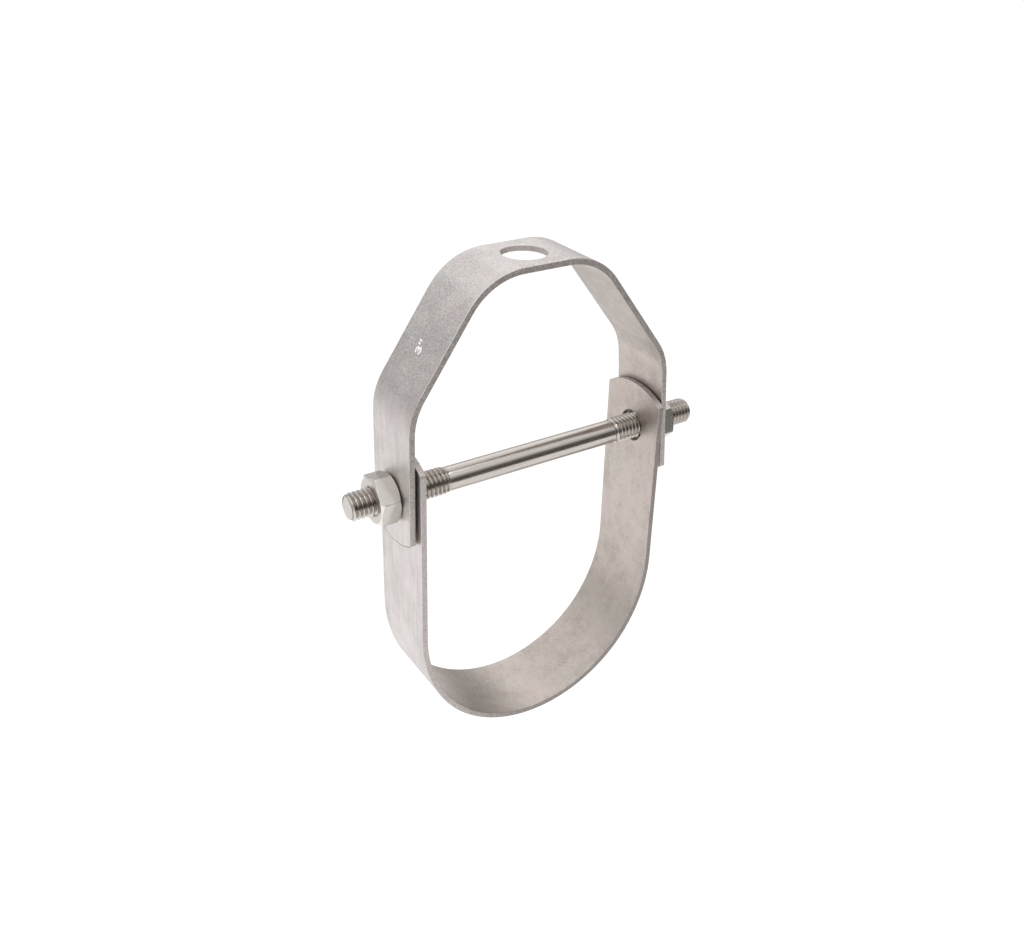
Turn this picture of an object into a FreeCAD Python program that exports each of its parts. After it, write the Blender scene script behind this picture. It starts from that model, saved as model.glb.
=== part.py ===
"""Clevis pipe hanger for a 3 inch pipe, millimetres, +Z up.

A bent yoke hangs from a threaded rod. A U-shaped cradle strap stands inside its legs and
carries the pipe. A bolt threaded at both ends crosses all four leg holes and is held by a
nut outside each leg of the yoke.

The origin is the centre of the rod hole at the top face of the yoke. X runs along the
cross bolt, Y along the pipe.
"""
import FreeCAD
import Part
import math
import os

V = FreeCAD.Vector
LEFT = -1
RIGHT = 1

# Pipe and its seat
pipe_diameter = 88.9
seat_play = 0.15            # on the radius, at the bottom where the pipe rests
pipe_side_play = 1.15       # between the pipe and each leg of the cradle
seat_half_angle = 61.0      # degrees, how far the seat runs up each side from the bottom
seat_drop = 54.0            # from the cross bolt down to the middle of the seat

# Strips
strip_thickness = 2.0
yoke_width = 24.0
cradle_width = 27.9
edge_bevel = 0.12           # worn edge all round the outline of a cut strip
end_corner_round = 0.8      # where a rounded end meets the long edge

# Yoke
rod_hole_diameter = 14.3
top_flat = 39.4             # between the two top bend lines, on the outer face
left_shoulder_drop = 39.0   # from the top face down to the shoulder bend lines
right_shoulder_drop = 39.8
bolt_drop = 70.5            # from the top face down to the cross bolt
top_bend_radius = 23.0      # bend radii are those of the outer face
shoulder_bend_radius = 22.5
left_leg_splay = 1.3        # degrees away from upright
right_leg_splay = 5.4
leg_below_bolt = 16.0
yoke_end_radius = 23.0

# Cradle strap
cradle_offset = 2.7         # the top of the yoke is bent off centre, so the cradle hangs to its right
cradle_leg_lean = 0.8       # degrees inwards
cradle_above_bolt = 16.5
cradle_end_radius = 25.0
left_gap = 0.7              # between the faces of strap and yoke at the top of the strap
right_gap = 0.35

# Cross bolt and the holes it crosses
bolt_diameter = 9.1
bolt_length = 134.0
bolt_offset = 2.1           # how far the bolt has moved to the right of the cradle's middle
bolt_end_chamfer = 0.8
bolt_hole_diameter = 11.2
hole_edge_bevel = 0.2

# Nuts
nut_across_flats = 15.2
nut_height = 7.0
nut_bearing_ratio = 0.95    # bearing face diameter over width across flats
nut_chamfer_angle = 30.0    # degrees
nut_bore_clearance = 0.06
nut_seat_clearance = 0.05
nut_mouth_depth = 0.5       # countersink at both ends of the bore
left_nut_turn = -15.0       # degrees about the bolt
right_nut_turn = 15.0

# Worked out from the above
seat_radius = pipe_diameter / 2 + seat_play
cradle_half_width = pipe_diameter / 2 + pipe_side_play
bolt_z = -bolt_drop
seat_z = bolt_z - seat_drop
cradle_top_z = bolt_z + cradle_above_bolt
yoke_end_z = bolt_z - leg_below_bolt
lean = math.radians(cradle_leg_lean)
seat_end = math.radians(seat_half_angle)
leg_start = math.radians(90) + lean
flank_widening = cradle_half_width - seat_radius * math.sin(seat_end)
flank_radius = flank_widening / (math.sin(leg_start) - math.sin(seat_end))
flank_centre_x = -(flank_radius - seat_radius) * math.sin(seat_end)
flank_centre_z = seat_z + (flank_radius - seat_radius) * math.cos(seat_end)
shoulder_drop = {LEFT: left_shoulder_drop, RIGHT: right_shoulder_drop}
bearing_radius = nut_across_flats / 2 * nut_bearing_ratio
splay = {LEFT: math.radians(left_leg_splay), RIGHT: math.radians(right_leg_splay)}
gap = {LEFT: left_gap, RIGHT: right_gap}
OVERRUN = 5.0               # how far a blank or a cutter runs past what is kept


def rounded_path(corners, radii):
    """Straight runs joined by tangent arcs, from the first corner to the last, as edges."""
    edges = []
    start = corners[0]
    for before, corner, after, radius in zip(corners, corners[1:], corners[2:], radii):
        back = (before - corner).normalize()
        ahead = (after - corner).normalize()
        bisector = (back + ahead).normalize()
        half_angle = back.getAngle(ahead) / 2
        setback = radius / math.tan(half_angle)
        centre = corner + bisector * (radius / math.sin(half_angle))
        arc_start = corner + back * setback
        arc_end = corner + ahead * setback
        edges.append(Part.LineSegment(start, arc_start).toShape())
        edges.append(Part.Arc(arc_start, centre - bisector * radius, arc_end).toShape())
        start = arc_end
    edges.append(Part.LineSegment(start, corners[-1]).toShape())
    return edges


def moved_inwards(corners, distance):
    """The same polyline, each run moved to its right by the distance."""
    sides = []
    for start, end in zip(corners, corners[1:]):
        along = (end - start).normalize()
        to_right = V(along.z, 0, -along.x)
        sides.append((start + to_right * distance, along))
    moved = [sides[0][0]]
    for (point, along), (next_point, next_along) in zip(sides, sides[1:]):
        step = next_point - point
        turn = along.x * next_along.z - along.z * next_along.x
        reach = (step.x * next_along.z - step.z * next_along.x) / turn
        moved.append(point + along * reach)
    last_point, last_along = sides[-1]
    length = (corners[-1] - corners[-2]).Length
    moved.append(last_point + last_along * length)
    return moved


def bent_strip(outer_edges, inner_edges, width):
    """Strip between an outer and an inner path, centred on the plane of the bolt."""
    outer = Part.Wire(outer_edges)
    inner = Part.Wire(inner_edges)
    caps = []
    for end in (0, -1):
        outer_end = outer.OrderedVertexes[end].Point
        inner_end = inner.OrderedVertexes[end].Point
        caps.append(Part.LineSegment(outer_end, inner_end).toShape())
    outline = Part.Wire(Part.__sortEdges__(outer_edges + inner_edges + caps))
    section = Part.Face(outline)
    section.translate(V(0, -width / 2, 0))
    return section.extrude(V(0, width, 0))


def rounded_end_blank(width, tip_z, far_z, radius, reach):
    """Upright plate seen along X: straight sides, one end an arc with small rounded corners."""
    half = width / 2
    up = math.copysign(1, tip_z - far_z)
    corner_z = tip_z - up * (radius - math.sqrt(radius**2 - half**2))
    left_far = V(-reach, -half, far_z)
    left_corner = V(-reach, -half, corner_z)
    right_corner = V(-reach, half, corner_z)
    right_far = V(-reach, half, far_z)
    edges = [
        Part.LineSegment(left_far, left_corner).toShape(),
        Part.Arc(left_corner, V(-reach, 0, tip_z), right_corner).toShape(),
        Part.LineSegment(right_corner, right_far).toShape(),
        Part.LineSegment(right_far, left_far).toShape(),
    ]
    plate = Part.Face(Part.Wire(edges)).extrude(V(2 * reach, 0, 0))
    corners = [e for e in plate.Edges if runs_along_x(e) and abs(mid_point(e).z - corner_z) < 0.01]
    return plate.makeFillet(end_corner_round, corners)


def mid_point(edge):
    return edge.valueAt((edge.FirstParameter + edge.LastParameter) / 2)


def runs_along_x(edge):
    box = edge.BoundBox
    return box.YLength < 0.01 and box.ZLength < 0.01


def outline_edges(strip, width):
    """Edges round both faces of a strip: neither bend lines nor edges across the thickness."""
    chosen = []
    for edge in strip.Edges:
        is_bend_line = edge.BoundBox.YLength > width - 0.01
        crosses_thickness = edge.BoundBox.YLength < 0.01 and edge.Length < 1.2 * strip_thickness
        if not is_bend_line and not crosses_thickness:
            chosen.append(edge)
    return chosen


def circle_edges(solid, diameter):
    """Edges that are circles of the given diameter."""
    circles = [e for e in solid.Edges if isinstance(e.Curve, Part.Circle)]
    return [e for e in circles if abs(2 * e.Curve.Radius - diameter) < 0.01]


def drilled(solid, diameter, centre, axis):
    """The solid with a round hole through one wall, centred in its thickness."""
    depth = 3 * strip_thickness
    hole = Part.makeCylinder(diameter / 2, depth, centre - axis * (depth / 2), axis)
    return solid.cut(hole)


def leg_side(side):
    """Unit vector square to a leg of the yoke, pointing outwards."""
    return V(side * math.cos(splay[side]), 0, math.sin(splay[side]))


def leg_outer_x(side, z):
    """Where the outer face of a leg of the yoke lies at a given height."""
    cradle_outer = cradle_leg_x(cradle_top_z) + strip_thickness / math.cos(lean)
    yoke_wall = strip_thickness / math.cos(splay[side])
    at_cradle_top = cradle_outer + gap[side] + yoke_wall
    return cradle_offset + side * (at_cradle_top + (cradle_top_z - z) * math.tan(splay[side]))


def cradle_leg_x(z):
    """Half the clear width between the legs of the cradle at a given height."""
    leg_start_z = flank_centre_z - flank_radius * math.cos(leg_start)
    return cradle_half_width - (z - leg_start_z) * math.tan(lean)


def shoulder_corner(side):
    """Where the outer faces of a slanted side and its leg would meet without the bend."""
    z = -shoulder_drop[side]
    return V(leg_outer_x(side, z), 0, z)


def yoke():
    """Flat top, two slanted sides and two upright legs, bent from one strip."""
    blank_z = yoke_end_z - OVERRUN
    outer = [
        V(leg_outer_x(LEFT, blank_z), 0, blank_z),
        shoulder_corner(LEFT),
        V(-top_flat / 2, 0, 0),
        V(top_flat / 2, 0, 0),
        shoulder_corner(RIGHT),
        V(leg_outer_x(RIGHT, blank_z), 0, blank_z),
    ]
    outer_radii = [shoulder_bend_radius, top_bend_radius, top_bend_radius, shoulder_bend_radius]
    inner_radii = [radius - strip_thickness for radius in outer_radii]
    inner = moved_inwards(outer, strip_thickness)
    strip = bent_strip(rounded_path(outer, outer_radii), rounded_path(inner, inner_radii), yoke_width)
    blank = rounded_end_blank(yoke_width, yoke_end_z, OVERRUN, yoke_end_radius, bolt_length)
    strip = strip.common(blank)
    strip = strip.makeChamfer(edge_bevel, outline_edges(strip, yoke_width))
    strip = drilled(strip, rod_hole_diameter, V(0, 0, -strip_thickness / 2), V(0, 0, 1))
    for side in (LEFT, RIGHT):
        outwards = leg_side(side)
        on_face = V(leg_outer_x(side, bolt_z), 0, bolt_z)
        strip = drilled(strip, bolt_hole_diameter, on_face - outwards * (strip_thickness / 2), outwards)
    hole_edges = circle_edges(strip, rod_hole_diameter) + circle_edges(strip, bolt_hole_diameter)
    return strip.makeChamfer(hole_edge_bevel, hole_edges)


def on_arc(centre_x, centre_z, radius, angle):
    """Point of an arc, its angle counted from straight down towards +X."""
    return V(centre_x + radius * math.sin(angle), 0, centre_z - radius * math.cos(angle))


def mirrored(point):
    return V(-point.x, point.y, point.z)


def cradle_path(growth):
    """The seat's arc, two wider flank arcs and two leaning legs, grown outwards, as edges."""
    flank = flank_radius + growth
    bottom = on_arc(0, seat_z, seat_radius + growth, 0)
    seat_top = on_arc(0, seat_z, seat_radius + growth, seat_end)
    middle = on_arc(flank_centre_x, flank_centre_z, flank, (seat_end + leg_start) / 2)
    leg_foot = on_arc(flank_centre_x, flank_centre_z, flank, leg_start)
    rise = cradle_top_z + OVERRUN - leg_foot.z
    leg_end = leg_foot + V(-rise * math.tan(lean), 0, rise)
    return [
        Part.LineSegment(mirrored(leg_end), mirrored(leg_foot)).toShape(),
        Part.Arc(mirrored(leg_foot), mirrored(middle), mirrored(seat_top)).toShape(),
        Part.Arc(mirrored(seat_top), bottom, seat_top).toShape(),
        Part.Arc(seat_top, middle, leg_foot).toShape(),
        Part.LineSegment(leg_foot, leg_end).toShape(),
    ]


def cradle_strap():
    """U-shaped strap with rounded leg ends and a bolt hole in each leg."""
    strip = bent_strip(cradle_path(strip_thickness), cradle_path(0), cradle_width)
    below = seat_z - seat_radius - strip_thickness - OVERRUN
    blank = rounded_end_blank(cradle_width, cradle_top_z, below, cradle_end_radius, bolt_length)
    strip = strip.common(blank)
    strip = strip.makeChamfer(edge_bevel, outline_edges(strip, cradle_width))
    for side in (LEFT, RIGHT):
        outwards = V(side * math.cos(lean), 0, math.sin(lean))
        in_wall = V(side * cradle_leg_x(bolt_z), 0, bolt_z) + outwards * (strip_thickness / 2)
        strip = drilled(strip, bolt_hole_diameter, in_wall, outwards)
    strip = strip.makeChamfer(hole_edge_bevel, circle_edges(strip, bolt_hole_diameter))
    strip.translate(V(cradle_offset, 0, 0))
    return strip


def turned(profile):
    """Solid turned about the bolt axis from (distance along X, radius) points."""
    points = [V(along, 0, radius) for along, radius in profile]
    face = Part.Face(Part.makePolygon(points + points[:1]))
    solid = face.revolve(V(0, 0, 0), V(1, 0, 0), 360)
    solid.translate(V(0, 0, bolt_z))
    return solid


def cross_bolt():
    """Straight bolt, chamfered at both ends."""
    left = cradle_offset + bolt_offset - bolt_length / 2
    right = left + bolt_length
    radius = bolt_diameter / 2
    tip_radius = radius - bolt_end_chamfer
    return turned([
        (left, 0),
        (left, tip_radius),
        (left + bolt_end_chamfer, radius),
        (right - bolt_end_chamfer, radius),
        (right, tip_radius),
        (right, 0),
    ])


def nut(side, turn):
    """Hexagon nut, chamfered on both faces, bearing on the lower part of the leg."""
    bore_radius = bolt_diameter / 2 + nut_bore_clearance
    corner_radius = nut_across_flats / 2 / math.cos(math.radians(30))
    bearing_x = leg_outer_x(side, bolt_z - bearing_radius) + side * nut_seat_clearance
    start = min(bearing_x, bearing_x + side * nut_height)
    end = start + nut_height
    corners = []
    for step in range(7):
        angle = math.radians(turn + 60 * step)
        corners.append(V(start, corner_radius * math.cos(angle), bolt_z + corner_radius * math.sin(angle)))
    prism = Part.Face(Part.makePolygon(corners)).extrude(V(nut_height, 0, 0))
    rise = (corner_radius - bearing_radius) * math.tan(math.radians(nut_chamfer_angle))
    chamfered = turned([
        (start, 0),
        (start, bearing_radius),
        (start + rise, corner_radius),
        (end - rise, corner_radius),
        (end, bearing_radius),
        (end, 0),
    ])
    mouth_radius = bore_radius + nut_mouth_depth
    bore = turned([
        (start - OVERRUN, 0),
        (start - OVERRUN, mouth_radius),
        (start, mouth_radius),
        (start + nut_mouth_depth, bore_radius),
        (end - nut_mouth_depth, bore_radius),
        (end, mouth_radius),
        (end + OVERRUN, mouth_radius),
        (end + OVERRUN, 0),
    ])
    return prism.common(chamfered).cut(bore)


os.makedirs("parts", exist_ok=True)
PARTS = {
    "yoke": yoke(),
    "cradle_strap": cradle_strap(),
    "cross_bolt": cross_bolt(),
    "nut_left": nut(LEFT, left_nut_turn),
    "nut_right": nut(RIGHT, right_nut_turn),
}
for name, shape in PARTS.items():
    shape.exportStep("parts/" + name + ".step")
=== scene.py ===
"""Looks of a clevis pipe hanger for a 3 inch pipe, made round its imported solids.

The yoke and the cradle strap keep their solids and get tumbled steel finishes. The cross bolt
gets its rolled threads, the nuts get their chamfers and rounded corners, and the yoke gets
its painted size mark. Metres, +Z up, the origin at the centre of the rod hole.
"""
import math

import bmesh
import bpy
from bpy.props import FloatProperty, FloatVectorProperty, IntProperty, PointerProperty
from mathutils import Matrix, Vector


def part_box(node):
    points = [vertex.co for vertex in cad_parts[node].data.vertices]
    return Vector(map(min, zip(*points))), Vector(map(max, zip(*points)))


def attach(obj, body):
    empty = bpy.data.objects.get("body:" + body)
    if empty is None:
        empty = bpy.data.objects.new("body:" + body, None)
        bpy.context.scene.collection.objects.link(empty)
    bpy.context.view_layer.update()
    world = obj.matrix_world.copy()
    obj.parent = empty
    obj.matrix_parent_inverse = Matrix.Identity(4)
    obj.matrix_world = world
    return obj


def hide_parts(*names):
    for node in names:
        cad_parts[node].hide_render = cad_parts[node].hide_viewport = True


bl_info = {
    "name": "Clevis pipe hanger",
    "version": (1, 0, 0),
    "blender": (4, 5, 0),
    "location": "3D View > Sidebar > Hanger",
    "description": "Threads, nuts, steel finishes, size mark and studio of a clevis pipe hanger",
    "category": "Object",
}

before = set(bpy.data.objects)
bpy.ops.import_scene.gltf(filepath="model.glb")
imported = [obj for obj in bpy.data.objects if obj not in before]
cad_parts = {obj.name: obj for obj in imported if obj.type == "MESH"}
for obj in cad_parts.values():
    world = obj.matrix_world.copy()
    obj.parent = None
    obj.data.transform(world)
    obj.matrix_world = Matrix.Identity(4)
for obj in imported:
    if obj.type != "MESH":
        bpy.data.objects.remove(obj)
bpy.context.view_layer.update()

MM = 0.001
SIDES = ("left", "right")
# Rows of the thread's mesh within one turn, closest at the root and at the crest.
THREAD_SAMPLES = (0.0, 0.07, 0.15, 0.29, 0.42, 0.5, 0.58, 0.71, 0.85, 0.93)
# Share by which each stroke of the mark is thicker than the one before, so none coincide.
PAINT_STEP = 0.15
FLOOR_CORNERS = ((-20, -20), (20, -20), (20, 20), (-20, 20))
FLAG_CLEARANCE = 0.01
# Name, grey at the foot, grey at the top, where it starts to change, top, first and last angle.
FLAGS = (
    ("front_flag", (0.11, 0.095, 0.088), (0.9, 0.9, 0.9), 0.16, 0.7, -150, 40),
    ("back_flag", (0.68, 0.67, 0.67), (0.40, 0.39, 0.39), -0.05, 0.22, 40, 210),
)
LAMP_AIM = Vector((0.0, 0.0, -0.08))
# Name, place, width, depth and watts.
LAMPS = (
    ("top_lamp", (0.10, -0.25, 0.85), 0.7, 0.08, 0.7),
    ("side_lamp", (-0.9, -0.5, 0.9), 0.6, 0.6, 1.0),
    ("back_lamp", (0.75, 0.95, 0.75), 0.8, 0.5, 0.5),
)


def tone(red, green, blue):
    """Linear colour of a shade given as it is seen on a screen, 0 to 255."""
    shades = []
    for shade in (red, green, blue):
        part = shade / 255
        shades.append(part / 12.92 if part <= 0.04045 else ((part + 0.055) / 1.055) ** 2.4)
    return tuple(shades)


class StripShape(bpy.types.PropertyGroup):
    """Sizes of the strips that their finishes follow."""

    rod_hole_diameter: FloatProperty(
        name="Rod hole diameter", description="Hole in the top of the yoke",
        default=14.3 * MM, unit="LENGTH", precision=5)
    yoke_end_radius: FloatProperty(
        name="Yoke end radius", description="Round of the lower ends of the yoke's legs",
        default=23.0 * MM, unit="LENGTH", precision=5)
    end_reach: FloatProperty(
        name="End reach", description="Farthest that any rounded end lies from the bolt",
        default=16.5 * MM, unit="LENGTH", precision=5)
    yoke_middle: FloatVectorProperty(
        name="Yoke middle", description="Point that the yoke's inner faces look at",
        default=(2.0 * MM, 0.0, -45.0 * MM), subtype="TRANSLATION")
    cradle_middle: FloatVectorProperty(
        name="Cradle middle", description="Point that the cradle strap's inner faces look at",
        default=(2.7 * MM, 0.0, -124.5 * MM), subtype="TRANSLATION")


class BoltShape(bpy.types.PropertyGroup):
    """The rolled threads of the cross bolt."""

    pitch: FloatProperty(
        name="Pitch", description="From one thread crest to the next",
        default=1.5 * MM, unit="LENGTH", precision=5)
    thread_depth: FloatProperty(
        name="Thread depth", description="From the crests down to the roots",
        default=0.9 * MM, unit="LENGTH", precision=5)
    left_thread: FloatProperty(
        name="Left thread", description="Length of the thread at the left end",
        default=35.0 * MM, unit="LENGTH", precision=5)
    right_thread: FloatProperty(
        name="Right thread", description="Length of the thread at the right end",
        default=34.8 * MM, unit="LENGTH", precision=5)
    run_out: FloatProperty(
        name="Run-out", description="Length over which a thread fades into the shank",
        default=2.8 * MM, unit="LENGTH", precision=5)
    shank_diameter: FloatProperty(
        name="Shank diameter", description="Plain middle of the bolt",
        default=8.2 * MM, unit="LENGTH", precision=5)
    end_chamfer: FloatProperty(
        name="End chamfer", description="Cut round both ends",
        default=0.75 * MM, unit="LENGTH", precision=5)
    columns: IntProperty(
        name="Columns", description="Points of the mesh round the bolt", default=72, min=12)


class NutShape(bpy.types.PropertyGroup):
    """The hexagon nuts."""

    across_flats: FloatProperty(
        name="Across flats", description="Between two opposite flats",
        default=15.2 * MM, unit="LENGTH", precision=5)
    bearing_ratio: FloatProperty(
        name="Bearing ratio", description="Bearing face diameter over the width across flats",
        default=0.95, subtype="FACTOR")
    chamfer_angle: FloatProperty(
        name="Chamfer angle", description="Slope of the cone that cuts the corners",
        default=math.radians(30), unit="ROTATION")
    bore_clearance: FloatProperty(
        name="Bore clearance", description="Between the thread crests and the bore, on the radius",
        default=0.06 * MM, unit="LENGTH", precision=5)
    mouth_depth: FloatProperty(
        name="Mouth depth", description="Countersink at both ends of the bore",
        default=0.5 * MM, unit="LENGTH", precision=5)
    corner_round: FloatProperty(
        name="Corner round", description="Radius of the six long corners",
        default=0.35 * MM, unit="LENGTH", precision=5)
    edge_round: FloatProperty(
        name="Edge round", description="Radius of the edges round both faces",
        default=0.14 * MM, unit="LENGTH", precision=5)
    left_turn: FloatProperty(
        name="Left nut turn", description="How far the left nut is turned about the bolt",
        default=math.radians(-15), unit="ROTATION")
    right_turn: FloatProperty(
        name="Right nut turn", description="How far the right nut is turned about the bolt",
        default=math.radians(15), unit="ROTATION")


class MarkShape(bpy.types.PropertyGroup):
    """The painted size mark on the left slanted side of the yoke."""

    place: FloatVectorProperty(
        name="Place", description="Middle of the numeral, near the face that carries it",
        default=(-36.2 * MM, 0.45 * MM, -24.15 * MM), subtype="TRANSLATION")
    width: FloatProperty(
        name="Numeral width", description="Between the middles of the strokes",
        default=1.75 * MM, unit="LENGTH", precision=5)
    height: FloatProperty(
        name="Numeral height", description="Between the middles of the strokes",
        default=2.45 * MM, unit="LENGTH", precision=5)
    stroke: FloatProperty(
        name="Stroke", description="Width of the painted line",
        default=0.64 * MM, unit="LENGTH", precision=5)
    thickness: FloatProperty(
        name="Paint thickness", description="How far the paint stands proud",
        default=0.04 * MM, unit="LENGTH", precision=5)
    tick_length: FloatProperty(
        name="Tick length", description="Straight part of each inch tick",
        default=0.64 * MM, unit="LENGTH", precision=5)
    tick_rise: FloatProperty(
        name="Tick rise", description="How far the ticks stand above the numeral's middle",
        default=1.14 * MM, unit="LENGTH", precision=5)
    near_tick: FloatProperty(
        name="Near tick", description="From the numeral's middle to the nearer tick",
        default=1.86 * MM, unit="LENGTH", precision=5)
    far_tick: FloatProperty(
        name="Far tick", description="From the numeral's middle to the farther tick",
        default=2.84 * MM, unit="LENGTH", precision=5)


class SteelLook(bpy.types.PropertyGroup):
    """Colours and gloss of the strips, the bolt and the nuts."""

    strip_face: FloatVectorProperty(
        name="Strip face", description="Tumbled face of the strips",
        default=tone(226, 221, 219), subtype="COLOR")
    # Dull end of the outer faces: random dull grains, and the painted shade on the slants.
    strip_dull_and_shade: FloatVectorProperty(
        name="Strip dull", description="Duller grains of the strips",
        default=tone(176, 171, 169), subtype="COLOR")
    # Inner faces: painted darker and warmer than the outer faces as shade.
    strip_inside_shaded: FloatVectorProperty(
        name="Strip inside", description="Inner faces of the strips",
        default=tone(206, 197, 190), subtype="COLOR")
    # Dull end of the inner faces: worn patches and scuffs, and the painted shade under the slants.
    inside_dull_and_shade: FloatVectorProperty(
        name="Dull inside", description="Worn patches on the inner faces",
        default=tone(179, 170, 165), subtype="COLOR")
    # Pale end of the rims; it also carries the painted light on the rounded ends and in the rod hole.
    rim_pale: FloatVectorProperty(
        name="Pale rim", description="Sheared rims where they are cleanest",
        default=tone(214, 207, 204), subtype="COLOR")
    rim_dull: FloatVectorProperty(
        name="Dull rim", description="Sheared rims where they are greyest",
        default=tone(155, 148, 144), subtype="COLOR")
    # Dark line: on the yoke's leg ends a rolled-over edge with painted shadow where they lie over the
    # strap; the tears in the strap's ends.
    burr_and_shadow: FloatVectorProperty(
        name="Burr", description="Dark line round the yoke's leg ends and tears in the strap's",
        default=tone(128, 120, 117), subtype="COLOR")
    # A worn edge painted bright as a highlight along the long edges of the slants.
    worn_edge_highlight: FloatVectorProperty(
        name="Edge line", description="Worn bright line along the long edges",
        default=tone(250, 246, 241), subtype="COLOR")
    fastener: FloatVectorProperty(
        name="Fasteners", description="Bright steel of the bolt and of the nuts' end faces",
        default=tone(208, 202, 196), subtype="COLOR")
    nut_chamfer: FloatVectorProperty(
        name="Nut chamfer", description="Bright ring between a nut's face and its flats",
        default=tone(236, 232, 228), subtype="COLOR")
    nut_flat: FloatVectorProperty(
        name="Nut flats", description="The six flats of a nut",
        default=tone(204, 201, 194), subtype="COLOR")
    # Stains on the fasteners, and the painted shade in the bolt's thread roots.
    fastener_dark: FloatVectorProperty(
        name="Fastener stains", description="Thread roots and dull patches",
        default=tone(98, 87, 80), subtype="COLOR")
    strip_roughness: FloatProperty(
        name="Strip roughness", description="Of the tumbled faces", default=0.44, subtype="FACTOR")
    fastener_roughness: FloatProperty(
        name="Fastener roughness", description="Of the bolt and the nuts", default=0.2,
        subtype="FACTOR")


class StudioSetting(bpy.types.PropertyGroup):
    """Floor, lamps, flags and camera."""

    floor_height: FloatProperty(
        name="Floor height", description="The hanger hangs above the floor",
        default=-350 * MM, unit="LENGTH")
    camera_place: FloatVectorProperty(
        name="Camera place", description="Where the camera stands",
        default=(-166.7505 * MM, -250.1802 * MM, 96.9773 * MM), subtype="TRANSLATION")
    camera_turn: FloatProperty(
        name="Camera turn", description="Turn of the view about the vertical, from +Y",
        default=math.radians(-33.2949), unit="ROTATION")
    camera_dip: FloatProperty(
        name="Camera dip", description="How far the view dips below level",
        default=math.radians(29.9928), unit="ROTATION")
    camera_roll: FloatProperty(
        name="Camera roll", description="Turn of the picture about the line of sight",
        default=math.radians(1.408), unit="ROTATION")
    lens: FloatProperty(
        name="Lens", description="Focal length in millimetres", default=36.3005, unit="CAMERA")


class HangerSettings(bpy.types.PropertyGroup):
    """All settings of the hanger."""

    strips: PointerProperty(type=StripShape)
    bolt: PointerProperty(type=BoltShape)
    nuts: PointerProperty(type=NutShape)
    mark: PointerProperty(type=MarkShape)
    steel: PointerProperty(type=SteelLook)
    studio: PointerProperty(type=StudioSetting)


def operation(name, reverse=False):
    """Method of a reading that adds one Math node."""

    def method(self, other):
        pair = (other, self) if reverse else (self, other)
        return self.nodes.maths(name, *pair)

    return method


class Reading:
    """A number that changes over a surface: one socket, with arithmetic."""

    def __init__(self, nodes, socket):
        self.nodes = nodes
        self.socket = socket

    __add__ = __radd__ = operation("ADD")
    __mul__ = __rmul__ = operation("MULTIPLY")
    __sub__ = operation("SUBTRACT")
    __rsub__ = operation("SUBTRACT", reverse=True)
    __truediv__ = operation("DIVIDE")
    __gt__ = operation("GREATER_THAN")
    __lt__ = operation("LESS_THAN")

    def __abs__(self):
        return self.nodes.maths("ABSOLUTE", self)


class Nodes:
    """Adds nodes to one node tree."""

    def __init__(self, tree):
        self.tree = tree
        tree.nodes.clear()

    def node(self, kind, settings=None, inputs=None):
        """Adds a node, first its settings and then the values or links of its sockets."""
        made = self.tree.nodes.new(kind)
        for name, value in (settings or {}).items():
            setattr(made, name, value)
        for name, value in (inputs or {}).items():
            socket = made.inputs[name]
            if isinstance(value, Reading):
                value = value.socket
            if isinstance(value, bpy.types.NodeSocket):
                self.tree.links.new(value, socket)
            else:
                socket.default_value = value
        return made

    def maths(self, name, *values):
        """Result of one Math node."""
        made = self.node("ShaderNodeMath", {"operation": name}, dict(enumerate(values)))
        return Reading(self, made.outputs[0])

    def vector_maths(self, name, inputs):
        """Outputs of one Vector Math node."""
        return self.node("ShaderNodeVectorMath", {"operation": name}, inputs).outputs

    def larger(self, first, *others):
        """The largest of its values."""
        for other in others:
            first = self.maths("MAXIMUM", first, other)
        return first

    def ramp(self, value, low, high):
        """0 below low, 1 above high and smooth between; low may be the larger one."""
        made = self.node(
            "ShaderNodeMapRange", {"interpolation_type": "SMOOTHSTEP"},
            {"Value": value, "From Min": low, "From Max": high})
        return Reading(self, made.outputs[0])

    def blend(self, share, first, second, way="MIX"):
        """Colour between two colours."""
        made = self.node(
            "ShaderNodeMix", {"data_type": "RGBA", "blend_type": way},
            {0: share, 6: first, 7: second})
        return made.outputs[2]

    def parts(self, vector):
        """X, Y and Z of a vector."""
        made = self.node("ShaderNodeSeparateXYZ", None, {0: vector})
        return [Reading(self, socket) for socket in made.outputs]


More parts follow.
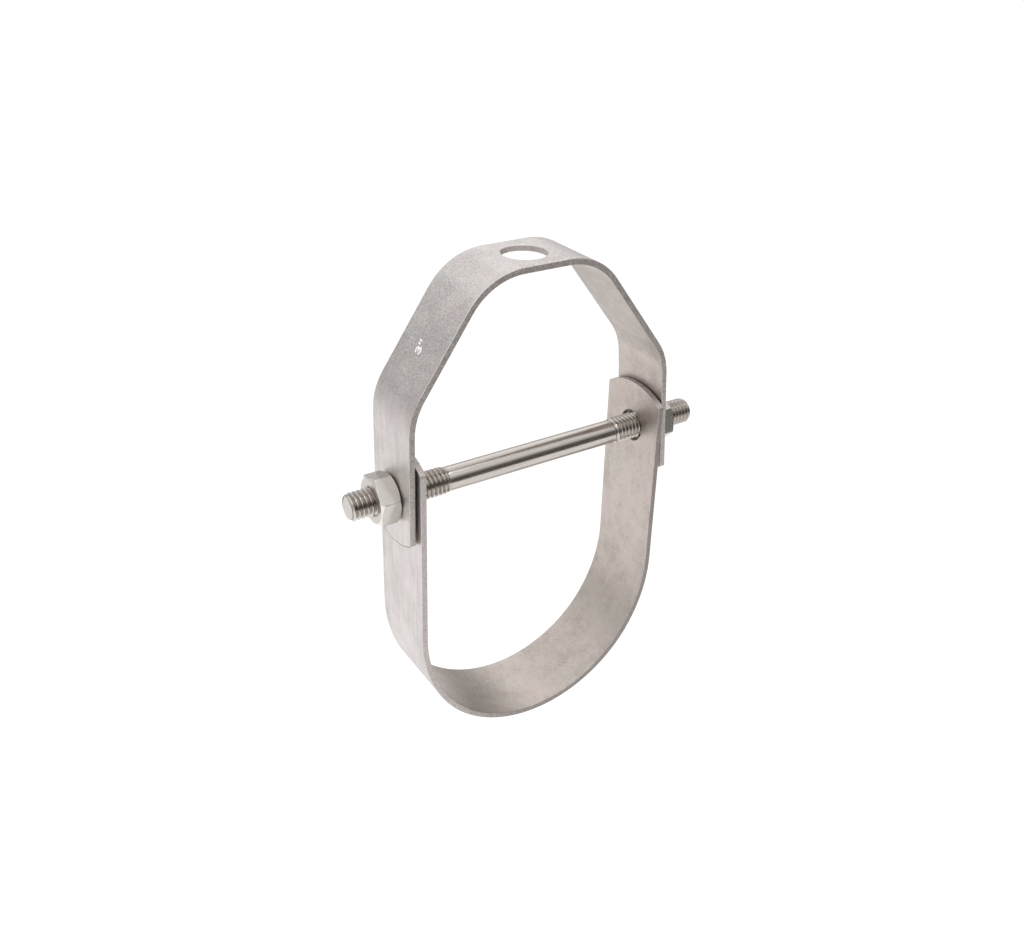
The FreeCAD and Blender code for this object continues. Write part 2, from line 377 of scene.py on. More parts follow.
class Finish(Nodes):
    """A material whose place is read in millimetres from the middle of the rod hole."""

    def __init__(self, name):
        self.material = bpy.data.materials.new(name)
        self.material.use_nodes = True
        super().__init__(self.material.node_tree)
        coordinates = self.node("ShaderNodeTexCoord")
        self.facing = coordinates.outputs["Normal"]
        self.place = self.vector_maths("SCALE", {0: coordinates.outputs["Object"], "Scale": 1 / MM})[0]

    def grain(self, size, detail=2.0, stretch=(1, 1, 1), seed=0.0):
        """Soft noise about zero; size is that of its spots in millimetres."""
        shifted = self.vector_maths("ADD", {0: self.place, 1: (seed, seed, seed)})[0]
        stretched = self.vector_maths("MULTIPLY", {0: shifted, 1: stretch})[0]
        made = self.node(
            "ShaderNodeTexNoise", None,
            {"Vector": stretched, "Scale": 1 / size, "Detail": detail, "Roughness": 0.6})
        return Reading(self, made.outputs[0]) - 0.5

    def distance_from(self, centre, kept):
        """Distance in millimetres from a point, along the kept axes only."""
        away = self.vector_maths("SUBTRACT", {0: self.place, 1: centre})[0]
        flat = self.vector_maths("MULTIPLY", {0: away, 1: kept})[0]
        return Reading(self, self.vector_maths("LENGTH", {0: flat})["Value"])

    def metal(self, colour, roughness, height, relief, metallic=1.0):
        """Ends the material: metal with a relief whose height is given in millimetres."""
        bump = self.node(
            "ShaderNodeBump", None,
            {"Height": height, "Strength": relief, "Distance": MM})
        shader = self.node(
            "ShaderNodeBsdfPrincipled", None,
            {"Base Color": colour, "Metallic": metallic, "Roughness": roughness,
             "Normal": bump.outputs[0]})
        self.node("ShaderNodeOutputMaterial", None, {0: shader.outputs[0]})
        return self.material


def opaque(colour):
    """The colour with full alpha, as colour sockets take it."""
    return (*colour, 1.0)


class StripSteel(Finish):
    """Tumbled sheet steel: pale faces, inner faces painted darker as shade, granular where it was
    sheared.

    Each strip adds slant_shade, how much darker its slants are painted as shade, coarseness, the
    strength of its grains, the greyness of its rim and the marks on its ends.
    """

    def __init__(self, strip, middle, look, shape):
        super().__init__(strip + "_steel")
        self.look = look
        self.shape = shape
        low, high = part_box(strip)
        self.bottom = low.z / MM
        self.half_width = high.y / MM
        self.bolt_z = bolt_axis_height() / MM
        self.nx, self.ny, self.nz = self.parts(self.facing)
        self.x, self.y, self.z = self.parts(self.place)
        self.find_rims()
        self.find_faces([along / MM for along in middle])
        self.scatter_grains()

    def find_rims(self):
        """Rims along both long edges, at the rounded ends and in the rod hole, each 0 to 1."""
        sideways = abs(self.ny)
        end_reach = self.shape.end_reach / MM
        hole_radius = self.shape.rod_hole_diameter / 2 / MM
        self.near_bolt = self.ramp(abs(self.z - self.bolt_z), end_reach + 0.7, end_reach + 0.4)
        end = self.ramp(abs(self.nx), 0.6, 0.5) * self.near_bolt
        self.rounded_end = end * self.ramp(sideways, 0.95, 0.85)
        from_rod = self.distance_from((0, 0, 0), (1, 1, 0))
        by_hole = self.ramp(from_rod, hole_radius + 0.45, hole_radius + 0.25) * (self.z > -3)
        self.hole_wall = by_hole * self.ramp(abs(self.nz), 0.6, 0.5)
        self.rim = self.larger(self.ramp(sideways, 0.8, 0.95), self.rounded_end, self.hole_wall)

    def find_faces(self, middle):
        """Inner, upright and slanted faces and the worn edge along the slants that carries a painted
        highlight, each 0 to 1.
        """
        from_middle = self.vector_maths("SUBTRACT", {0: self.place, 1: middle})[0]
        outwards = self.vector_maths("DOT_PRODUCT", {0: from_middle, 1: self.facing})["Value"]
        self.inside = self.ramp(Reading(self, outwards), 0.5, -0.5)
        self.upright = self.ramp(abs(self.nx), 0.88, 0.97)
        self.slanted = self.ramp(abs(self.nz), 0.3, 0.5) * self.ramp(abs(self.nx), 0.6, 0.75)
        self.outside = (1 - self.rim) * (1 - self.inside)
        # Painted highlight: a bright line along the outer long edges of the slanted faces.
        by_edge = self.ramp(abs(self.y), self.half_width - 0.34, self.half_width - 0.2)
        self.worn_edge_highlight = by_edge * self.outside * self.slanted

    def scatter_grains(self):
        """Noises shared by colour, gloss and relief, from the largest spots to the finest."""
        self.clouds = self.grain(17.0, 2.0)
        self.patches = self.grain(5.0, 3.0, seed=40.0)
        self.streaks = self.grain(1.2, 2.0, (0.08, 1.0, 0.08), seed=9.0)
        self.speckle = self.grain(0.55, 3.0, seed=3.0)
        self.gravel = self.grain(0.55, 3.0, seed=21.0)
        self.fine = self.grain(0.3, 1.0, seed=61.0)

    def outer_face(self):
        """Pale with duller grains, brushed on the legs, and painted darker on the slants as shade."""
        dullness_and_shade = 0.3 + self.clouds * 0.7 + self.patches * 0.4
        # Painted shade: the slanted faces are darkened here.
        dullness_and_shade = dullness_and_shade + self.streaks * self.upright * 0.6 + self.slanted * self.slant_shade
        grains = (self.speckle * 2.0 + self.fine * 1.1) * (1 - self.upright * 0.6)
        dullness_and_shade = dullness_and_shade + grains * self.coarseness
        return self.blend(self.ramp(dullness_and_shade, -0.1, 1.1),
                          opaque(self.look.strip_face), opaque(self.look.strip_dull_and_shade))

    def inner_face(self):
        """Painted darker and warmer than the outer faces as shade, mottled and scuffed, with painted
        shade darkest under the slants.
        """
        # Painted shade under the slants.
        shade_under_slant = self.ramp(self.nz, -0.2, -0.45) * self.ramp(abs(self.nx), 0.6, 0.75)
        scuffs = self.grain(1.6, 3.0, (1.0, 0.5, 0.16), seed=52.0)
        dullness_and_shade = 0.3 + shade_under_slant * 0.6 + self.clouds * 1.2 + self.patches + scuffs
        dullness_and_shade = dullness_and_shade + self.speckle * 2.0 + self.fine * 1.1
        return self.blend(self.ramp(dullness_and_shade, -0.1, 1.1),
                          opaque(self.look.strip_inside_shaded), opaque(self.look.inside_dull_and_shade))

    def tinted(self, colour):
        """Faint pinkish and greenish patches."""
        pinkish = (1.0, 0.972, 0.978, 1.0)
        greenish = (0.98, 1.0, 0.985, 1.0)
        share = self.ramp(self.grain(8.0, 3.0, seed=90.0), -0.16, 0.16)
        return self.blend(1.0, colour, self.blend(share, pinkish, greenish), "MULTIPLY")

    def sheared_rim(self):
        """Grey and granular, painted paler at the rounded ends and in the rod hole for the light they
        catch.
        """
        # Painted light: the rounded ends and the rod-hole wall are made paler here.
        painted_light_at_ends = self.larger(self.rounded_end, self.hole_wall)
        greyness = self.rim_dullness() * (1 - painted_light_at_ends * 0.8) + self.gravel * 2.2
        return self.blend(self.ramp(greyness, -0.25, 1.25),
                          opaque(self.look.rim_pale), opaque(self.look.rim_dull))

    def finished(self):
        """Lays faces, rims and the worn edges with their painted highlight over one another and ends
        the material.
        """
        # The inner faces take their painted shade here.
        faces = self.tinted(self.blend(self.inside, self.outer_face(), self.inner_face()))
        colour = self.blend(self.rim, faces, self.sheared_rim())
        # The painted highlight along the worn edges goes on here.
        colour = self.blend(self.worn_edge_highlight, colour, opaque(self.look.worn_edge_highlight))
        colour = self.blend(self.end_marks(), colour, opaque(self.look.burr_and_shadow))
        roughness = self.look.strip_roughness + self.streaks * 0.08 + self.speckle * 0.14
        roughness = roughness + self.patches * 0.1 + self.rim * 0.16 - self.worn_edge_highlight * 0.1
        height = self.speckle * 0.02 + self.streaks * self.upright * 0.01
        height = height + self.patches * 0.02 + self.rim * self.gravel * 0.05
        return self.metal(colour, roughness, height, 0.6)


class YokeSteel(StripSteel):
    """The yoke: coarse grains, and a dark line round its leg ends, a rolled-over edge with painted
    shadow where they lie over the strap.
    """

    slant_shade = 0.26
    coarseness = 1.0

    def rim_dullness(self):
        """The slanted rims are greyer than those of the legs."""
        return self.ramp(self.z, -78, -38) * 0.47 + 0.2

    def end_marks(self):
        """Dark line along the rounded ends, on the outer faces of both legs: a rolled-over edge, with
        painted shadow where the ends lie over the strap.
        """
        end_radius = self.shape.yoke_end_radius / MM
        from_middle = self.distance_from((0, 0, self.bottom + end_radius), (0, 1, 1))
        # Painted shadow along the leg ends, where they lie over the strap.
        line = self.ramp(from_middle, end_radius - 0.4, end_radius - 0.22)
        return line * (self.z < self.bolt_z - 5) * self.outside * self.near_bolt


class CradleSteel(StripSteel):
    """The cradle strap: finer grains, and tears across its rounded ends."""

    slant_shade = 0.48
    coarseness = 0.4

    def rim_dullness(self):
        """The rim is greyest under the pipe and on the right."""
        return self.ramp(self.x, -46, 4) * 0.75 + 0.2

    def end_marks(self):
        """Short lines through the thickness of the rounded ends."""
        tears = self.ramp(self.grain(0.8, 2.0, (0.08, 1.0, 1.0), seed=70.0), 0.04, 0.2)
        return tears * self.rounded_end * 0.8


class FastenerSteel(Finish):
    """Bright steel with faint stains; lengths in millimetres."""

    def __init__(self, name, look):
        super().__init__(name)
        self.look = look
        self.crest_radius = bolt_crest_radius() / MM
        self.nx = self.parts(self.facing)[0]
        self.radius = self.distance_from((0, 0, bolt_axis_height() / MM), (0, 1, 1))
        self.end_face = self.ramp(abs(self.nx), 0.9, 0.97)
        self.stains = self.grain(2.6, 3.0, seed=15.0)
        self.drawing_lines = self.grain(0.35, 1.0, (0.03, 1, 1), seed=33.0)
        self.speckle = self.grain(0.45, 2.0, seed=5.0)

    def stained(self):
        """0 on clean steel, 1 in a stain."""
        return self.ramp(self.stains * 1.2 + self.speckle * 0.5, 0.0, 0.6)

    def polished(self, steel, darkening, dulling, metallic):
        """Lays stains, and on the bolt the painted shade of the thread roots, over the steel and ends
        the material.
        """
        colour = self.blend(darkening, steel, opaque(self.look.fastener_dark))
        roughness = self.look.fastener_roughness + self.stains * 0.15 + self.speckle * 0.06
        roughness = roughness + dulling + self.end_face * 0.14
        height = self.drawing_lines * 0.004 + self.speckle * 0.005
        height = height + self.end_face * self.speckle * 0.02
        return self.metal(colour, roughness, height, 0.5, metallic)


def bolt_steel(look, thread_depth):
    """Bright crests and thread roots painted dark brown as shade, drawn lines along the shank."""
    finish = FastenerSteel("bolt_steel", look)
    below_crest = (finish.crest_radius - finish.radius) / (thread_depth / MM)
    groove = finish.ramp(below_crest, 0.3, 0.95) * finish.ramp(abs(finish.nx), 0.95, 0.9)
    # Painted shade: the thread roots are darkened here.
    darkening = finish.larger(finish.stained() * 0.3, groove * 0.6) + finish.drawing_lines * 0.4
    return finish.polished(opaque(look.fastener), darkening, groove * 0.12, metallic=1.0)


def nut_steel(look):
    """Duller flats and a pale ring where the corners are chamfered."""
    finish = FastenerSteel("nut_steel", look)
    crest_radius, radius = finish.crest_radius, finish.radius
    flat = finish.ramp(abs(finish.nx), 0.3, 0.1)
    flat = flat * finish.ramp(radius, crest_radius + 0.6, crest_radius + 1.2)
    chamfer = finish.ramp(abs(finish.nx), 0.98, 0.93) * finish.ramp(abs(finish.nx), 0.3, 0.6)
    chamfer = chamfer * finish.ramp(radius, crest_radius + 1.0, crest_radius + 1.4)
    steel = finish.blend(flat, opaque(look.fastener), opaque(look.nut_flat))
    steel = finish.blend(chamfer, steel, opaque(look.nut_chamfer))
    darkening = finish.stained() * 0.22 + finish.speckle * 0.4
    return finish.polished(steel, darkening, flat * 0.04, metallic=0.85)


def mark_paint(name):
    """Dull white marking paint with a little grain."""
    finish = Finish(name)
    grain = finish.grain(0.25, 2.0)
    worn, fresh = opaque(tone(246, 245, 244)), opaque(tone(253, 253, 252))
    colour = finish.blend(finish.ramp(grain, -0.3, 0.3), worn, fresh)
    bump = finish.node(
        "ShaderNodeBump", None, {"Height": grain, "Strength": 0.4, "Distance": 0.02 * MM})
    shader = finish.node(
        "ShaderNodeBsdfPrincipled", None,
        {"Base Color": colour, "Roughness": 0.55 + grain * 0.2, "Normal": bump.outputs[0]})
    finish.node("ShaderNodeOutputMaterial", None, {0: shader.outputs[0]})
    return finish.material


def smooth_mesh(name, points, faces, sharp_angle, cuts=()):
    """Smooth mesh that keeps its sharp edges, cut off square at each (x, way out)."""
    mesh = bpy.data.meshes.new(name)
    mesh.from_pydata(points, [], faces)
    shaped = bmesh.new()
    shaped.from_mesh(mesh)
    for x, outwards in cuts:
        cut_flat(shaped, x, outwards)
    loose = [point for point in shaped.verts if not point.link_faces]
    bmesh.ops.delete(shaped, geom=loose, context="VERTS")
    bmesh.ops.recalc_face_normals(shaped, faces=shaped.faces)
    for face in shaped.faces:
        face.smooth = True
    for edge in shaped.edges:
        edge.smooth = edge.calc_face_angle(0.0) < sharp_angle
    shaped.to_mesh(mesh)
    shaped.free()
    return mesh


def cut_flat(shaped, x, outwards):
    """Cuts the mesh off square at x and closes it with a flat face."""
    everything = shaped.verts[:] + shaped.edges[:] + shaped.faces[:]
    cut = bmesh.ops.bisect_plane(
        shaped, geom=everything, dist=1e-7, plane_co=(x, 0, 0), plane_no=(outwards, 0, 0),
        clear_outer=True)
    rim = [part for part in cut["geom_cut"] if isinstance(part, bmesh.types.BMEdge)]
    bmesh.ops.holes_fill(shaped, edges=rim, sides=0)


def show_piece(mesh, material, body):
    """Object of the mesh's name that rides on a body of the frame."""
    mesh.materials.append(material)
    piece = bpy.data.objects.new(mesh.name, mesh)
    bpy.context.collection.objects.link(piece)
    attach(piece, body)
    return piece


def eased(share):
    """0 to 1 with soft ends."""
    share = min(max(share, 0.0), 1.0)
    return share * share * (3 - 2 * share)


def thread_rise(turn_share):
    """Height of the thread, 0 at the root and 1 at the crest, over one pitch."""
    crest_width, flank_width, straightness = 0.14, 0.64, 0.55
    from_crest = abs(turn_share % 1.0 - 0.5) * 2
    falling = min(max((from_crest - crest_width) / flank_width, 0.0), 1.0)
    return 1 - straightness * falling - (1 - straightness) * eased(falling)


def bolt_radius(shape, left, right, crest_radius, x, angle):
    """Radius of the bolt at one point of its surface."""
    left_end = left + shape.left_thread
    right_start = right - shape.right_thread
    threaded = max((left_end - x) / shape.run_out, (x - right_start) / shape.run_out)
    fullness = eased(threaded)
    plain = shape.shank_diameter / 2
    body = plain + (crest_radius - plain) * fullness
    rise = thread_rise(x / shape.pitch - angle / (2 * math.pi))
    radius = body - shape.thread_depth * fullness * (1 - rise)
    to_end = max(min(x - left, right - x), 0.0)
    return min(radius, crest_radius - shape.end_chamfer + to_end)


def threaded_bolt_mesh(shape):
    """One helical sheet from end to end, cut square at both ends."""
    low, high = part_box("cross_bolt")
    left, right = low.x, high.x
    axis_z, crest_radius = bolt_axis_height(), bolt_crest_radius()
    turns = math.ceil((right - left) / shape.pitch) + 3
    start = math.floor(left / shape.pitch) * shape.pitch - 1.5 * shape.pitch
    points = []
    for turn in range(turns):
        for sample in THREAD_SAMPLES:
            for column in range(shape.columns):
                share = column / shape.columns
                angle = share * 2 * math.pi
                x = start + (turn + sample + share) * shape.pitch
                radius = bolt_radius(shape, left, right, crest_radius, x, angle)
                points.append((x, radius * math.cos(angle), axis_z + radius * math.sin(angle)))
    faces = helix_faces(turns * len(THREAD_SAMPLES), len(THREAD_SAMPLES), shape.columns)
    return smooth_mesh("threaded_bolt", points, faces, math.radians(55), [(left, -1), (right, 1)])


def helix_faces(rows, rows_a_turn, columns):
    """Faces between the rows of a helix, each row's end joined to the start one turn on."""
    faces = []
    for row in range(rows - rows_a_turn - 1):
        for column in range(columns):
            here = row * columns + column
            beside = here + 1
            if column == columns - 1:
                beside = (row + rows_a_turn) * columns
            faces.append((here, beside, beside + columns, here + columns))
    return faces


def arc_points(centre, radius, start, end, steps):
    """Points of an arc between two angles."""
    points = []
    for step in range(steps + 1):
        angle = start + (end - start) * step / steps
        points.append((centre[0] + radius * math.cos(angle), centre[1] + radius * math.sin(angle)))
    return points


def hexagon(across_flats, corner_round, turn):
    """Points round a hexagon with rounded corners, as (y, z)."""
    reach = math.radians(30)
    flat_steps = 10
    centre_distance = (across_flats / 2 - corner_round) / math.cos(reach)
    arcs = []
    for corner in range(6):
        angle = turn + math.radians(60 * corner)
        centre = (centre_distance * math.cos(angle), centre_distance * math.sin(angle))
        arcs.append(arc_points(centre, corner_round, angle - reach, angle + reach, 4))
    outline = []
    for arc, next_arc in zip(arcs, arcs[1:] + arcs[:1]):
        outline.extend(arc)
        for step in range(1, flat_steps):
            share = step / flat_steps
            outline.append(tuple(a + (b - a) * share for a, b in zip(arc[-1], next_arc[0])))
    return outline


def rounded_corners(corners, radius, steps):
    """Closed outline with every corner cut into an arc of the given radius."""
    rounded = []
    for index, corner in enumerate(corners):
        corner = Vector(corner)
        back = (Vector(corners[index - 1]) - corner).normalized()
        ahead = (Vector(corners[(index + 1) % len(corners)]) - corner).normalized()
        half_angle = back.angle(ahead) / 2
        setback = radius / math.tan(half_angle)
        first = corner + back * setback
        last = corner + ahead * setback
        centre = corner + (back + ahead).normalized() * (radius / math.sin(half_angle))
        for step in range(steps + 1):
            chord = first.lerp(last, step / steps)
            rounded.append(centre + (chord - centre).normalized() * radius)
    return rounded


def nut_mesh(shape, side):
    """A nut as one profile carried round its hexagon."""
    low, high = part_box("nut_" + side)
    axis_z = bolt_axis_height()
    bore = bolt_crest_radius() + shape.bore_clearance
    bearing = shape.across_flats / 2 * shape.bearing_ratio
    turn = shape.left_turn if side == "left" else shape.right_turn
    points = []
    outline = hexagon(shape.across_flats, shape.corner_round, turn)
    for y, z in outline:
        reach = math.hypot(y, z)
        drop = (reach - bearing) * math.tan(shape.chamfer_angle)
        corners = [
            (high.x - shape.mouth_depth, bore),
            (low.x + shape.mouth_depth, bore),
            (low.x, bore + shape.mouth_depth),
            (low.x, bearing),
            (low.x + drop, reach),
            (high.x - drop, reach),
            (high.x, bearing),
            (high.x, bore + shape.mouth_depth),
        ]
        profile = rounded_corners(corners, shape.edge_round, 3)
        points.extend((x, radius * y / reach, axis_z + radius * z / reach) for x, radius in profile)
    faces = ring_faces(len(outline), len(profile))
    return smooth_mesh("hexagon_nut_" + side, points, faces, math.radians(40))


def ring_faces(columns, rows):
    """Faces of a closed ring of closed profiles."""
    faces = []
    for column in range(columns):
        here, beside = column * rows, (column + 1) % columns * rows
        for row in range(rows):
            above = (row + 1) % rows
            faces.append((here + row, here + above, beside + above, beside + row))
    return faces


def painted_line(path, stroke, thickness):
    """Flat line of paint with round ends along a path: points (along, across, height), faces."""
    outline = []
    for index, point in enumerate(path):
        before = path[max(index - 1, 0)]
        after = path[min(index + 1, len(path) - 1)]
        heading = (after - before).normalized()
        aside = Vector((-heading.y, heading.x)) * stroke / 2
        outline.append((point + aside, point - aside, heading))
    left = [row[0] for row in outline]
    right = [row[1] for row in outline]
    end_cap = round_cap(path[-1], outline[-1][2], stroke / 2)
    start_cap = round_cap(path[0], -outline[0][2], stroke / 2)
    border = right + end_cap + left[::-1] + start_cap
    count = len(border)
    points = [(p.x, p.y, 0.0) for p in border] + [(p.x, p.y, thickness) for p in border]
    faces = [tuple(range(count))[::-1], tuple(range(count, 2 * count))]
    for index in range(count):
        following = (index + 1) % count
        faces.append((index, following, count + following, count + index))
    return points, faces


def round_cap(centre, heading, radius):
    """Points round the end of a painted line."""
    facing = math.atan2(heading.y, heading.x)
    steps = 5
    cap = []
    for step in range(1, steps):
        angle = facing - math.pi / 2 + math.pi * step / steps
        cap.append(centre + Vector((math.cos(angle), math.sin(angle))) * radius)
    return cap


def bow(centre, half_width, half_height, start, end):
    """Path along part of an ellipse, its angles in degrees."""
    steps = 14
    path = []
    for step in range(steps + 1):
        angle = math.radians(start + (end - start) * step / steps)
        path.append(centre + Vector((half_width * math.cos(angle), half_height * math.sin(angle))))
    return path


def size_mark_lines(shape):
    """The numeral three and the two ticks for inches, as paths about the numeral's middle."""
    half_width = shape.width / 2
    quarter = shape.height / 4
    upper = Vector((-0.1 * half_width, quarter * 1.04))
    lower = Vector((-0.06 * half_width, -quarter * 0.96))
    lines = [
        bow(upper, half_width * 0.94, quarter * 0.96, 155, -90),
        bow(lower, half_width * 1.06, quarter * 1.04, 90, -155),
    ]
    half_tick = Vector((0, shape.tick_length / 2))
    for along in (shape.near_tick, shape.far_tick):
        middle = Vector((along, shape.tick_rise))
        lines.append([middle + half_tick, middle - half_tick])
    return lines


def seen_face(node, place):
    """The point of a node's face that is nearest to a place, and that face's normal."""
    found, point, normal, _ = node.closest_point_on_mesh(place)
    if not found:
        raise RuntimeError("no face near the size mark")
    return point, normal


def flag_points(radius, low, high, start, end):
    """Part of an upright round wall about the hanger, its angles in degrees from +X."""
    steps = 24
    points = []
    for step in range(steps + 1):
        angle = math.radians(start + (end - start) * step / steps)
        for z in (low, high):
            points.append((radius * math.cos(angle), radius * math.sin(angle), z))
    faces = [(2 * s, 2 * s + 2, 2 * s + 3, 2 * s + 1) for s in range(steps)]
    return points, faces


def stage_object(name, points, faces, material):
    """Object that belongs to the studio and not to the hanger."""
    mesh = bpy.data.meshes.new(name)
    mesh.from_pydata(points, [], faces)
    mesh.materials.append(material)
    made = bpy.data.objects.new(name, mesh)
    bpy.context.collection.objects.link(made)
    return made


def seen_directly(nodes):
    """1 for rays from the camera, in reflections and through glass."""
    path = nodes.node("ShaderNodeLightPath")
    readings = [Reading(nodes, path.outputs[name])
                for name in ("Is Camera Ray", "Is Glossy Ray", "Is Transmission Ray")]
    return nodes.larger(*readings)


def floor_material():
    """Pale matt floor that is seen near white and still takes a shadow."""
    floor = Finish("studio_floor")
    lift = floor.blend(seen_directly(floor), (0, 0, 0, 1), (0.2, 0.2, 0.2, 1))
    shader = floor.node(
        "ShaderNodeBsdfPrincipled", None,
        {"Base Color": (0.9, 0.9, 0.9, 1), "Roughness": 0.9, "Specular IOR Level": 0.0,
         "Emission Color": lift, "Emission Strength": 1.0})
    floor.node("ShaderNodeOutputMaterial", None, {0: shader.outputs[0]})
    return floor.material


def flag_material(name, lower_grey, upper_grey, fade_start, fade_end):
    """Glow that fades upwards from one grey to another, between two heights."""
    flag = Finish(name)
    height = flag.parts(flag.place)[2]
    share = flag.ramp(height, fade_start / MM, fade_end / MM)
    colour = flag.blend(share, opaque(lower_grey), opaque(upper_grey))
    glow = flag.node("ShaderNodeEmission", None, {"Color": colour, "Strength": 1.0})
    flag.node("ShaderNodeOutputMaterial", None, {0: glow.outputs[0]})
    return flag.material


def add_flag(name, lower_grey, upper_grey, fade_start, foot, top, start, end):
    """Grey flag that only shows in the steel's reflections."""
    points, faces = flag_points(1.0, foot, top, start, end)
    material = flag_material(name, lower_grey, upper_grey, fade_start, top)
    flag = stage_object(name, points, faces, material)
    flag.visible_camera = False
    flag.visible_diffuse = False
    flag.visible_shadow = False
    flag.visible_transmission = False


def add_lamp(name, place, width, depth, power):
    """Soft lamp turned to the middle of the hanger."""
    lamp = bpy.data.lights.new(name, "AREA")
    lamp.shape = "RECTANGLE"
    lamp.size = width
    lamp.size_y = depth
    lamp.energy = power
    holder = bpy.data.objects.new(name, lamp)
    bpy.context.collection.objects.link(holder)
    holder.location = place
    aim = LAMP_AIM - Vector(place)
    holder.rotation_euler = aim.to_track_quat("-Z", "Y").to_euler()


def studio_world():
    """White where it is seen, softer where it only lights."""
    world = bpy.data.worlds.new("studio")
    world.use_nodes = True
    bpy.context.scene.world = world
    sky = Nodes(world.node_tree)
    shown = sky.node("ShaderNodeBackground", None, {"Color": (1, 1, 1, 1), "Strength": 1.0})
    lighting = sky.node("ShaderNodeBackground", None, {"Color": (1, 1, 1, 1), "Strength": 0.95})
    mixed = sky.node(
        "ShaderNodeMixShader", None,
        {0: seen_directly(sky), 1: lighting.outputs[0], 2: shown.outputs[0]})
    sky.node("ShaderNodeOutputWorld", None, {0: mixed.outputs[0]})


def place_camera(setting):
    """Camera at the measured place, turn, dip and roll."""
    turn, dip, roll = setting.camera_turn, setting.camera_dip, setting.camera_roll
    ahead = Vector((-math.sin(turn), math.cos(turn), 0))
    forward = ahead * math.cos(dip) - Vector((0, 0, math.sin(dip)))
    level = Vector((math.cos(turn), math.sin(turn), 0))
    upright = level.cross(forward)
    right = level * math.cos(roll) + upright * math.sin(roll)
    up = upright * math.cos(roll) - level * math.sin(roll)
    camera = bpy.data.objects.new("camera", bpy.data.cameras.new("camera"))
    bpy.context.collection.objects.link(camera)
    camera.data.sensor_width = 36.0
    camera.data.lens = setting.lens
    camera.data.clip_start = 0.01
    axes = Matrix((right, up, -forward)).transposed().to_4x4()
    camera.matrix_world = Matrix.Translation(setting.camera_place) @ axes
    bpy.context.scene.camera = camera


def bolt_axis_height():
    """Height of the cross bolt's middle."""
    low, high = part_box("cross_bolt")
    return (low.z + high.z) / 2


def bolt_crest_radius():
    """Half the cross bolt's thickness."""
    low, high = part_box("cross_bolt")
    return (high.z - low.z) / 2


class HANGER_OT_finish_strips(bpy.types.Operator):
    """Gives the yoke and the cradle strap their tumbled steel"""

    bl_idname = "hanger.finish_strips"
    bl_label = "Finish the strips"

    def execute(self, context):
        look = context.scene.hanger.steel
        shape = context.scene.hanger.strips
        finishes = {
            "yoke": YokeSteel("yoke", shape.yoke_middle, look, shape),
            "cradle_strap": CradleSteel("cradle_strap", shape.cradle_middle, look, shape),
        }
        for name, finish in finishes.items():
            material = finish.finished()
            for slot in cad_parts[name].material_slots:
                slot.material = material
        return {"FINISHED"}


class HANGER_OT_thread_bolt(bpy.types.Operator):
    """Makes the cross bolt with its rolled threads"""

    bl_idname = "hanger.thread_bolt"
    bl_label = "Thread the bolt"

    def execute(self, context):
        settings = context.scene.hanger
        material = bolt_steel(settings.steel, settings.bolt.thread_depth)
        mesh = threaded_bolt_mesh(settings.bolt)
        bolt = show_piece(mesh, material, "bolt")
        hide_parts("cross_bolt")
        return {"FINISHED"}


class HANGER_OT_form_nuts(bpy.types.Operator):
    """Makes both hexagon nuts"""

    bl_idname = "hanger.form_nuts"
    bl_label = "Form the nuts"

    def execute(self, context):
        settings = context.scene.hanger
        material = nut_steel(settings.steel)
        for side in SIDES:
            mesh = nut_mesh(settings.nuts, side)
            nut = show_piece(mesh, material, "nut_" + side)
            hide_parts("nut_" + side)
        return {"FINISHED"}


class HANGER_OT_paint_mark(bpy.types.Operator):
    """Paints the size mark on the left slanted side of the yoke"""

    bl_idname = "hanger.paint_mark"
    bl_label = "Paint the size mark"

    def execute(self, context):
        shape = context.scene.hanger.mark
        centre, outwards = seen_face(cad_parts["yoke"], shape.place)
        across = Vector((0, 1, 0))
        along = across.cross(outwards)
        points = []
        faces = []
        for index, path in enumerate(size_mark_lines(shape)):
            thickness = shape.thickness * (1 + index * PAINT_STEP)
            line_points, line_faces = painted_line(path, shape.stroke, thickness)
            offset = len(points)
            for a, b, height in line_points:
                points.append(centre + along * a + across * b + outwards * height)
            faces.extend(tuple(offset + corner for corner in face) for face in line_faces)
        mesh = smooth_mesh("size_mark", points, faces, math.radians(30))
        show_piece(mesh, mark_paint("mark_paint"), "yoke")
        return {"FINISHED"}


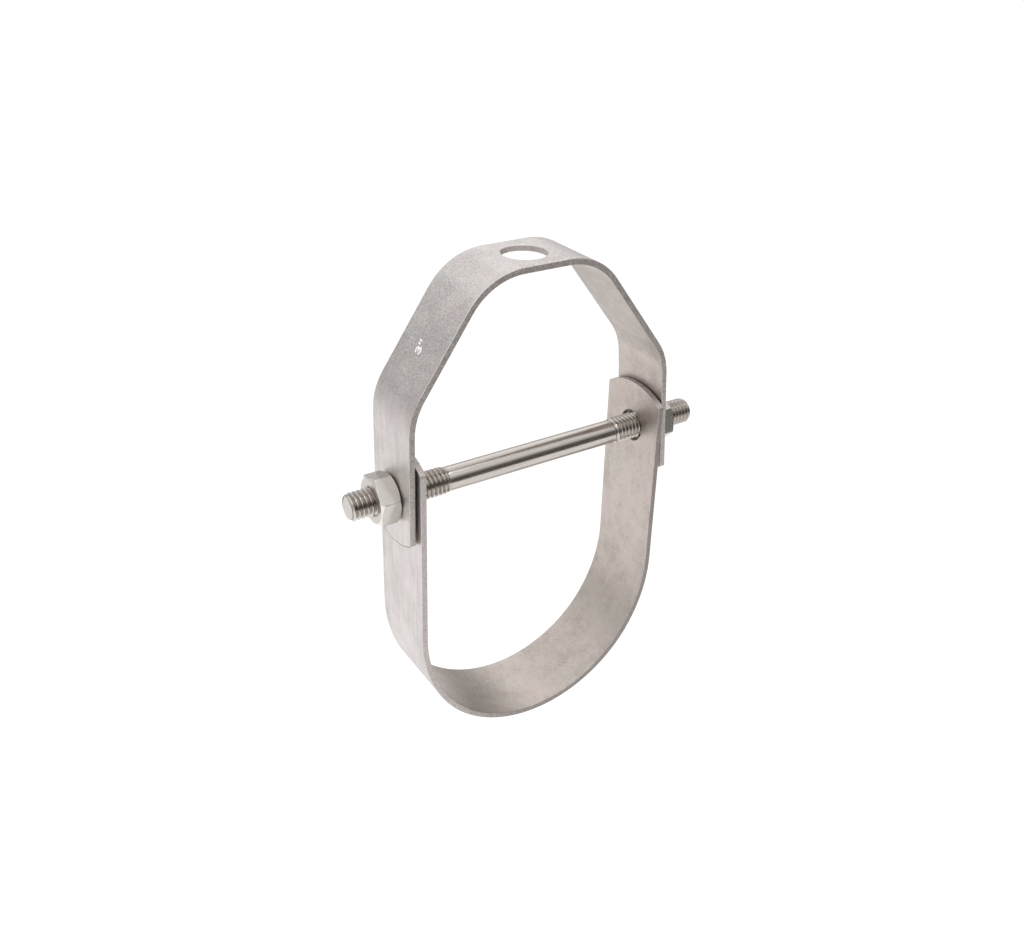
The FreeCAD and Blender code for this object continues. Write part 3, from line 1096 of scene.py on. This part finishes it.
class HANGER_OT_set_stage(bpy.types.Operator):
    """Sets the floor, the world, the lamps, the flags and the camera"""

    bl_idname = "hanger.set_stage"
    bl_label = "Set the stage"

    def execute(self, context):
        setting = context.scene.hanger.studio
        context.scene.view_settings.view_transform = "Standard"
        studio_world()
        floor_z = setting.floor_height
        corners = [(x, y, floor_z) for x, y in FLOOR_CORNERS]
        stage_object("studio_floor", corners, [(0, 1, 2, 3)], floor_material())
        for name, lower_grey, upper_grey, fade_start, top, start, end in FLAGS:
            foot = floor_z + FLAG_CLEARANCE
            add_flag(name, lower_grey, upper_grey, fade_start, foot, top, start, end)
        for lamp in LAMPS:
            add_lamp(*lamp)
        place_camera(setting)
        return {"FINISHED"}


class HANGER_PT_sidebar(bpy.types.Panel):
    """Lists the steps that make the hanger"""

    bl_idname = "HANGER_PT_sidebar"
    bl_label = "Clevis pipe hanger"
    bl_space_type = "VIEW_3D"
    bl_region_type = "UI"
    bl_category = "Hanger"

    def draw(self, context):
        settings = context.scene.hanger
        for step in STEPS:
            self.layout.operator(step.bl_idname)
        groups = (settings.strips, settings.bolt, settings.nuts, settings.mark, settings.steel,
                  settings.studio)
        for group in groups:
            box = self.layout.box()
            for name in group.__annotations__:
                box.prop(group, name)


STEPS = (
    HANGER_OT_finish_strips,
    HANGER_OT_thread_bolt,
    HANGER_OT_form_nuts,
    HANGER_OT_paint_mark,
    HANGER_OT_set_stage,
)
CLASSES = (
    StripShape, BoltShape, NutShape, MarkShape, SteelLook, StudioSetting, HangerSettings,
    *STEPS, HANGER_PT_sidebar,
)


def register():
    """Adds the classes and the scene's settings."""
    for cls in CLASSES:
        bpy.utils.register_class(cls)
    bpy.types.Scene.hanger = PointerProperty(type=HangerSettings)


def unregister():
    """Takes the settings and the classes away again."""
    del bpy.types.Scene.hanger
    for cls in reversed(CLASSES):
        bpy.utils.unregister_class(cls)


def main():
    """Makes the whole hanger."""
    register()
    bpy.ops.hanger.finish_strips()
    bpy.ops.hanger.thread_bolt()
    bpy.ops.hanger.form_nuts()
    bpy.ops.hanger.paint_mark()
    bpy.ops.hanger.set_stage()


if __name__ == "__main__":
    main()
